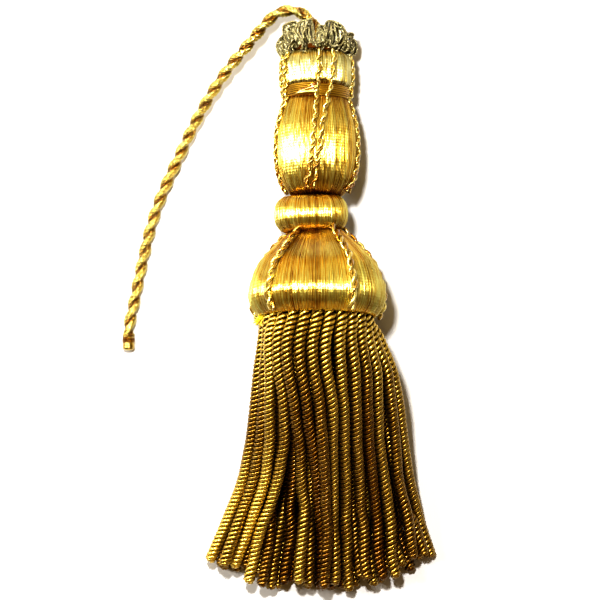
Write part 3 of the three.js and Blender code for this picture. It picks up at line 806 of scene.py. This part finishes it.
def gimp_leaf(degrees, tip_height, tip_radius, width, own_twist, phase):
    turn = math.radians(degrees)
    tip = np.array([tip_height, tip_radius])
    heading = unit(tip - LEAF_ROOT)
    face_up = math.atan2(math.sin(turn), heading[0] * math.cos(turn))
    spine = through([LEAF_ROOT, LEAF_ROOT + (tip - LEAF_ROOT) * [0.4, 0.65], tip])
    leaf = {
        "turn": turn, "heading": heading, "spine": spaced(spine, SPINE_POINTS), "width": width, "phase": phase,
        "length": np.linalg.norm(tip - LEAF_ROOT), "twist": LEAF_TWIST * face_up + math.radians(own_twist),
    }
    whole = joined([*leaf_loops(leaf), leaf_sheet(leaf)], [*LOOP_TONES, SHEET_TONE])
    return {**whole, "tone": whole["tone"] + LEAF_SHADE * math.sin(2.5 * phase + 1)}


leaves = [gimp_leaf(*leaf, GOLDEN_TURN * number) for number, leaf in enumerate(FRONT_LEAVES + BACK_LEAVES)]
make_piece("ruff_leaves", rested(joined(leaves), RUFF_CLEARANCE), ruff_gimp, "ruff_gimp", "ruff")
print("leaves:", len(leaves))

# %% [markdown]
# The leaves are tied on with a few turns of brown thread, which show as a dark line under the frill.

# %% Ruff binding
binding_brown = gold_finish(
    "binding_brown", (0.03, 0.008, 0.001), (0.14, 0.045, 0.004), metallic=0.9, roughness=0.5
)
BINDING_HEIGHTS, BINDING_RADII = (44.5, 45.25), (4.35, 4.0)
BINDING_TURNS, BINDING_THREAD, BINDING_POINTS = 4, 0.16, 360
binding_height = np.linspace(*BINDING_HEIGHTS, BINDING_POINTS)
binding_radius = np.linspace(*BINDING_RADII, BINDING_POINTS)
binding = wound_on_head(binding_height, binding_radius, BINDING_TURNS, BINDING_THREAD)
make_piece("ruff_binding", binding, binding_brown, "whipping", "ruff")

# %% [markdown]
# ## The skirt's strands
# The strands hang from two rings under the bell. On the table they fan out and sag on to the surface in a
# heap. A physics run could drop them, but it would be slow and never quite the same twice. Instead each
# strand gets the place where it would like to be, row by row down the skirt. The strands on top are laid from
# a list. The others spread between the skirt's left and right edges.

# %% Where strands would like to be
ROOT_RINGS = [(26, 8.75, 0.0), (18, 6.55, 0.5)]  # strands, ring radius, offset round the ring
OUTER_STRANDS, OUTER_RADIUS, _ = ROOT_RINGS[0]
STRAND_RADIUS = 1.02
SKIRT_LENGTH = 46.5
SKIRT_DOWN = [0, 4, 8, 12, 20, 27.5, 35.5, 46.5]
SKIRT_LEFT = [-8.75, -8.9, -9.6, -10.0, -10.9, -12.4, -15.6, -20.4]
SKIRT_RIGHT = [8.75, 10.5, 12.2, 13.3, 14.3, 15.5, 17.6, 21.4]
LAID_DOWN = [0, 4, 8, 14, 20, 27, 34, 40, 46.5]
LAID_STRANDS = [  # where the strands on top lie across the skirt, from its left edge to its right edge
    [-9.0, -9.7, -10.3, -10.9, -12.3, -14.9, -17.6, -20.4],
    [-8.2, -8.6, -8.8, -9.5, -10.8, -13.2, -15.4, -17.4],
    [-7.6, -7.5, -7.9, -7.6, -8.5, -10.8, -12.5, -14.4],
    [-6.5, -6.4, -5.3, -5.2, -6.5, -8.5, -10.3, -12.0],
    [-5.3, -4.8, -3.0, -2.1, -2.4, -1.5, -1.7, -1.9],
    [-3.3, -2.8, -1.5, -0.5, 0.2, 0.5, 0.1, 0.0],
    [-0.9, -0.8, 0.5, 1.1, 1.3, 1.5, 1.2, 1.0],
    [0.9, 1.2, 1.9, 1.7, 2.3, 2.6, 2.4, 2.4],
    [3.5, 3.9, 3.9, 4.1, 4.7, 4.9, 5.5, 6.0],
    [5.3, 6.0, 6.1, 6.5, 7.1, 7.4, 8.0, 8.4],
    [6.7, 7.8, 8.0, 8.3, 9.3, 10.2, 10.6, 11.2],
    [8.0, 9.5, 9.8, 9.9, 11.0, 12.1, 12.8, 13.8],
    [9.3, 11.4, 12.0, 12.6, 13.3, 15.3, 17.0, 18.4],
    [10.4, 12.2, 13.6, 14.3, 15.7, 17.8, 19.6, 21.4],
]
HEAP_HEIGHT = 5.4
WANDER = 0.5


def free_place(strand, share):
    """Where a strand would lie, sideways and upwards, if it were alone. Share is the way down the skirt."""
    down = share * SKIRT_LENGTH
    fallen = share * share * (3 - 2 * share)
    side = strand["side"]
    if strand["laid"]:
        x = np.interp(down, LAID_DOWN, [strand["root"][0], *strand["laid"]])
    else:
        lean = side + (math.asin(max(-1, min(1, side))) / (math.pi / 2) - side) * fallen
        edge = abs(np.interp(down, SKIRT_DOWN, SKIRT_LEFT if side < 0 else SKIRT_RIGHT))
        x = lean * strand["ring"] ** (1 - fallen) * edge + WANDER * strand["stray"] * share
    root_z = strand["root"][2]
    lift = (root_z - rim_z + OUTER_RADIUS) / (2 * OUTER_RADIUS)
    low = STRAND_RADIUS + lift * HEAP_HEIGHT
    carried_on = math.sin(tilt) * down * (1 - share) ** 3
    return x, root_z + (low - root_z) * fallen + carried_on


print("strands laid by eye:", len(LAID_STRANDS))

# %% [markdown]
# Each strand starts as a root on one of the rings. Its path begins inside the bell, so that its upper end is
# hidden there.

# %% Strand roots
ROOT_HEIGHT, ROOT_INSET = -0.7, 0.2
HIDDEN_HEIGHT, HIDDEN_INSET = 1.1, 0.9
LAID_FROM = -6  # place on the outer ring of the first strand laid from the list, counted from the ring's top
strands = []
for count, ring_radius, offset in ROOT_RINGS:
    for place in range(count):
        turn = FULL_TURN * (place + offset) / count
        row = (place if place < count / 2 else place - count) - LAID_FROM
        outer = ring_radius == OUTER_RADIUS
        hidden_end = on_head(HIDDEN_HEIGHT, ring_radius - HIDDEN_INSET, turn)
        strands.append({
            "root": on_head(ROOT_HEIGHT, ring_radius, turn),
            "side": math.sin(turn),
            "ring": ring_radius / OUTER_RADIUS,
            "stray": math.sin(GOLDEN_TURN * len(strands)),
            "laid": LAID_STRANDS[row] if outer and 0 <= row < len(LAID_STRANDS) else None,
            "path": [hidden_end, on_head(ROOT_HEIGHT, ring_radius - ROOT_INSET, turn)],
        })
print("strands:", len(strands))

# %% [markdown]
# Now the strands settle. In every row, neighbours that are closer than their thickness are pushed apart and
# let down a little, sixty times over. The solids were laid in the same way, so that both agree. At last each
# path is cut off where its strand ends, along a shallow curve that is a little uneven.

# %% Strand paths
STRAND_PITCH = 2.1
SKIRT_ROWS = 16
LAID_PULL = 0.4  # how hard a strand that was laid by eye is pulled back to its place
SETTLE_LOOPS, SETTLE_DROP = 60, 0.012
END_MIDDLE, END_CURVE, END_UNEVEN = -48.9, 0.0125, 0.9


def push_apart(places):
    """Move apart the strands that overlap. A place is x, z and how steeply its strand falls."""
    for index, one in enumerate(places):
        for other in places[index + 1 :]:
            dx = other[0] - one[0]
            dz = (other[1] - one[1]) * min(one[2], other[2])
            if abs(dx) < STRAND_PITCH and abs(dz) < STRAND_PITCH:
                apart = math.hypot(dx, dz)
                if apart < STRAND_PITCH:
                    push = (STRAND_PITCH - apart) / (2 * apart)
                    one[0] -= dx * push
                    one[1] -= dz * push
                    other[0] += dx * push
                    other[1] += dz * push


places = [[strand["root"][0], strand["root"][2], 1.0] for strand in strands]
row_step = SKIRT_LENGTH / SKIRT_ROWS
for row in range(1, SKIRT_ROWS + 1):
    share = row / SKIRT_ROWS
    left = np.interp(row * row_step, SKIRT_DOWN, SKIRT_LEFT)
    right = np.interp(row * row_step, SKIRT_DOWN, SKIRT_RIGHT)
    for strand, place in zip(strands, places):
        was = free_place(strand, (row - 1) / SKIRT_ROWS)
        now = free_place(strand, share)
        place[0] += now[0] - was[0]
        place[1] += now[1] - was[1]
        if strand["laid"]:
            place[0] += LAID_PULL * (now[0] - place[0])
        place[2] = row_step / math.hypot(row_step, now[1] - was[1])
    for loop in range(SETTLE_LOOPS):
        push_apart(places)
        for place in places:
            place[0] = min(max(place[0], left), right)
            place[1] = max(place[1] - SETTLE_DROP * share, STRAND_RADIUS)
    for strand, place in zip(strands, places):
        strand["path"].append(np.array([place[0], rim_y - row * row_step, place[1]]))

for strand in strands:
    path = np.array(strand["path"])
    end = END_MIDDLE + END_CURVE * path[-1, 0] ** 2 + END_UNEVEN * strand["stray"]
    line = through(path, 10)
    line[:, 2] = np.maximum(line[:, 2], STRAND_RADIUS)
    strand["line"] = line[line[:, 1] >= end]
print("longest strand:", round(max(run_of(strand["line"])[-1] for strand in strands), 1), "mm")

# %% [markdown]
# ## Bullion
# Each strand is a spring: three wires of wrapped gimp coiled side by side round a dark yarn. The coils are
# built as real wires, because the gaps between them, the saw-tooth edge and the hollow ends are what makes
# bullion look like bullion. The wires lie a little more open at the root, where the strand bends over, and the
# last turn closes in to a small rounded ring. Their tone has a painted highlight at the roots, and at the ends
# of the first strands from the left.

# %% Helper for bullion
WIRE_HEIGHT, WIRE_WIDTH = 0.15, 0.32  # half the wire's size, out from the strand and along it
ROOT_WIRE_HEIGHT, ROOT_WIRE_WIDTH = 0.2, 0.27
COIL_RADIUS, COIL_WIRES, COIL_POINTS = 1.0, 3, 12  # points to a turn
OPENING, OPEN_REACH = 0.12, 6.5  # how much wider the turns are at the root, and how far down that goes
# painted highlight at the roots
ROOT_PAINTED_LIGHT = 0.95
PAINTED_LIGHT_RISE, PAINTED_LIGHT_START = 2.5, 1.2  # the painted highlight at the end starts about half way down and is full near the end
END_ROUND, END_CLOSING, END_TWIST = 0.55, 0.8, 0.3
YARN_CORE, YARN_CORE_POINTS, YARN_CORE_SIDES = 0.66, 40, 8


def bullion_strand(line, phase, lead, shade, end_painted_light, sides):
    """The coiled wires of one strand, and the yarn inside them."""
    length = run_of(line)[-1]
    line = spaced(line, int(length / lead * COIL_POINTS))
    run = run_of(line)
    rootward = np.exp(-run / OPEN_REACH)
    closing = np.clip((run - length + END_ROUND) / END_ROUND, 0, 1)
    wire_height = WIRE_HEIGHT + (ROOT_WIRE_HEIGHT - WIRE_HEIGHT) * rootward
    wire_width = WIRE_WIDTH + (ROOT_WIRE_WIDTH - WIRE_WIDTH) * rootward
    coil = (COIL_RADIUS - wire_height) * np.sqrt(1 - END_CLOSING * closing**2)
    # painted highlight at the root, and towards the end of the first strands from the left
    end_light = end_painted_light * np.clip(PAINTED_LIGHT_RISE * run / length - PAINTED_LIGHT_START, 0, 1)
    tone = np.repeat(shade + ROOT_PAINTED_LIGHT * rootward + end_light, sides)
    twist = FULL_TURN * (OPENING * OPEN_REACH * rootward / lead + END_TWIST * closing) + phase
    bars = laid_bars(line, UP, COIL_WIRES, coil[:, None], lead, wire_height, sides, twist, wire_width)
    inner = spaced(line[run < length - END_ROUND], YARN_CORE_POINTS)
    return [{**bar, "tone": tone} for bar in bars], sweep(inner, UP, YARN_CORE, YARN_CORE_SIDES)


print("wires to a strand:", COIL_WIRES)

# %% [markdown]
# The strands would be too large for one mesh, so they are sorted into three: the right and the left half of
# the outer ring, and the inner ring, which is nearly hidden and has wires with fewer sides.

# %% Bullion
bullion_wire = gold_finish(
    "bullion_wire", (0.13, 0.055, 0.001), (0.68, 0.49, 0.1), metallic=0.95, roughness=0.34, lacquer=0.3,
    wrap=0.24, wrap_depth=0.004, grain=1500,
)
bullion_yarn = gold_finish(
    "bullion_yarn", (0.02, 0.008, 0.002), (0.07, 0.03, 0.006), metallic=1.0, roughness=0.85
)
COIL_LEAD = 2.4
LEFT_PAINTED_LIGHT = [1.0, 0.3, 0.9, 0.7, 0.45]  # painted highlight at the ends of the first strands from the left
WIRE_SIDES = {"bullion_right": 8, "bullion_left": 8, "bullion_inner": 6}
coils = {name: [] for name in WIRE_SIDES}
strand_yarns = []
for index, strand in enumerate(strands):
    lead = COIL_LEAD * random.uniform(0.95, 1.05)
    phase, shade = random.uniform([0, -0.12], [6, 0.2])
    from_left = LAID_STRANDS.index(strand["laid"]) if strand["laid"] else len(LAID_STRANDS)
    end_painted_light = LEFT_PAINTED_LIGHT[from_left] if from_left < len(LEFT_PAINTED_LIGHT) else 0
    outer_half = "bullion_right" if index < OUTER_STRANDS // 2 else "bullion_left"
    name = outer_half if index < OUTER_STRANDS else "bullion_inner"
    wires, yarn = bullion_strand(strand["line"], phase, lead, shade, end_painted_light, WIRE_SIDES[name])
    coils[name] += wires
    strand_yarns.append(yarn)
for name, wires in coils.items():
    make_piece(name, rested(joined(wires)), bullion_wire, "bullion", "skirt")
make_piece("bullion_yarns", joined(strand_yarns), bullion_yarn, "bullion", "skirt")

# %% [markdown]
# The strands are sewn to a heading, a narrow braid that is coiled up inside the bell's rim. Only its edge can
# be seen, from low down, so it is a disc with a ribbed edge.

# %% Heading
HEADING_RADIUS, HEADING_RIBS, HEADING_RIB_DEPTH = 7.9, 120, 0.12
HEADING_ROWS = [(-0.6, 0.94), (-0.3, 1.0), (0.3, 1.01), (0.8, 1.0), (1.2, 0.94)]  # height, size
heading_rim = HEADING_RADIUS - HEADING_RIB_DEPTH * (np.arange(HEADING_RIBS * 2) % 2)
make_piece("skirt_heading", turned_form(HEADING_ROWS, heading_rim), bullion_yarn, "bullion", "skirt")

# %% [markdown]
# A wisp of bright yellow floss has worked out between the bell and the skirt on the left. It is a few short
# curled threads, dyed and not metal, so its finish is a plain one.

# %% Floss wisp
wisp_yellow = gold_finish("wisp_yellow", (0.75, 0.55, 0.02), (0.95, 0.85, 0.08), metallic=0.0, roughness=0.5)
WISP_THREADS, WISP_RADIUS, WISP_SIDES, WISP_POINTS = 22, 0.09, 5, 9
WISP_ROOT = (0.2, 8.9, -1.42)  # height, radius, turn
WISP_HEADING = np.array([-0.9, -1.2, 0.6])
wisps = []
t = np.linspace(0, 1, WISP_POINTS)[:, None]
for thread in range(WISP_THREADS):
    height, radius, turn = WISP_ROOT
    start = on_head(height, radius, turn + random.normal(0, 0.04))
    push = WISP_HEADING + random.normal(0, 0.3, 3)
    curl = random.normal(0, 0.4, 3)
    line = start + push * t + curl * t**2
    wisps.append(sweep(line, UP, WISP_RADIUS, WISP_SIDES))
make_piece("floss_wisp", joined(wisps), wisp_yellow, "floss", "bell")

# %% [markdown]
# ## The table
# The table is a plain sheet. It is pale grey in itself, but so much light falls on it that it shows as white. A
# white one would throw too much light back into the shadow.

# %% Table
TABLE_CORNERS = [(-2, -2, 0), (2, -2, 0), (2, 2, 0), (-2, 2, 0)]  # in metres
table_white = bpy.data.materials.new("table_white")
table_white.use_nodes = True
table_look = {"Base Color": (0.58, 0.58, 0.59, 1), "Roughness": 0.9, "Specular IOR Level": 0.1}
set_values(table_white.node_tree.nodes["Principled BSDF"], table_look)
table_mesh = bpy.data.meshes.new("table")
table_mesh.from_pydata(TABLE_CORNERS, [], [(0, 1, 2, 3)])
table_mesh.materials.append(table_white)
table = bpy.data.objects.new("table", table_mesh)
bpy.context.scene.collection.objects.link(table)
print("table corners in metres:", TABLE_CORNERS)

# %% [markdown]
# ## Light
# A small bright lamp nearly overhead, up and to the left in the picture, gives the sharp shadow and the bright
# band on each form. Metal thread shows what it mirrors, so the other lights are broad and soft, one for each
# slope of the forms: orange far up the table and from the skirt's side, yellow above, cool on the left and dim
# on the right. The room is dim and warm, and a look with more contrast gives the metal its dark side.

# %% Light
LIGHTS = {  # place in metres, width, height, power in watts, colour
    "lamp": ((-0.028, 0.06, 0.23), 0.022, 0.022, 0.78, (1, 0.98, 0.94)),
    "window": ((-0.1, 0.7, 0.35), 0.6, 0.5, 1.15, (1, 0.6, 0.12)),
    "side_window": ((-0.52, 0.12, 0.36), 0.2, 0.4, 3.8, (1, 0.98, 0.92)),
    "upper_window": ((-0.08, 0.38, 0.46), 0.4, 0.35, 0.5, (1, 0.98, 0.7)),
    "right_wall": ((0.5, 0.1, 0.3), 0.5, 0.5, 0.3, (1, 0.99, 0.95)),
    "low_window": ((0.05, -0.6, 0.33), 0.5, 0.4, 0.45, (1, 0.6, 0.14)),
}
for name, (place, width, height, power, colour) in LIGHTS.items():
    data = bpy.data.lights.new(name, "AREA")
    data.shape = "ELLIPSE"
    data.size, data.size_y = width, height
    data.energy, data.color = power, colour
    light = bpy.data.objects.new(name, data)
    light.location = place
    aim = -light.location.normalized()
    light.rotation_euler = aim.to_track_quat("-Z", "Y").to_euler()
    bpy.context.scene.collection.objects.link(light)
room = bpy.data.worlds.new("room")
room.use_nodes = True
set_values(room.node_tree.nodes["Background"], {"Color": (1, 0.6, 0.24, 1), "Strength": 0.1})
bpy.context.scene.world = room
bpy.context.scene.view_settings.view_transform = "Standard"
bpy.context.scene.view_settings.look = "High Contrast"
print("lights:", list(LIGHTS))
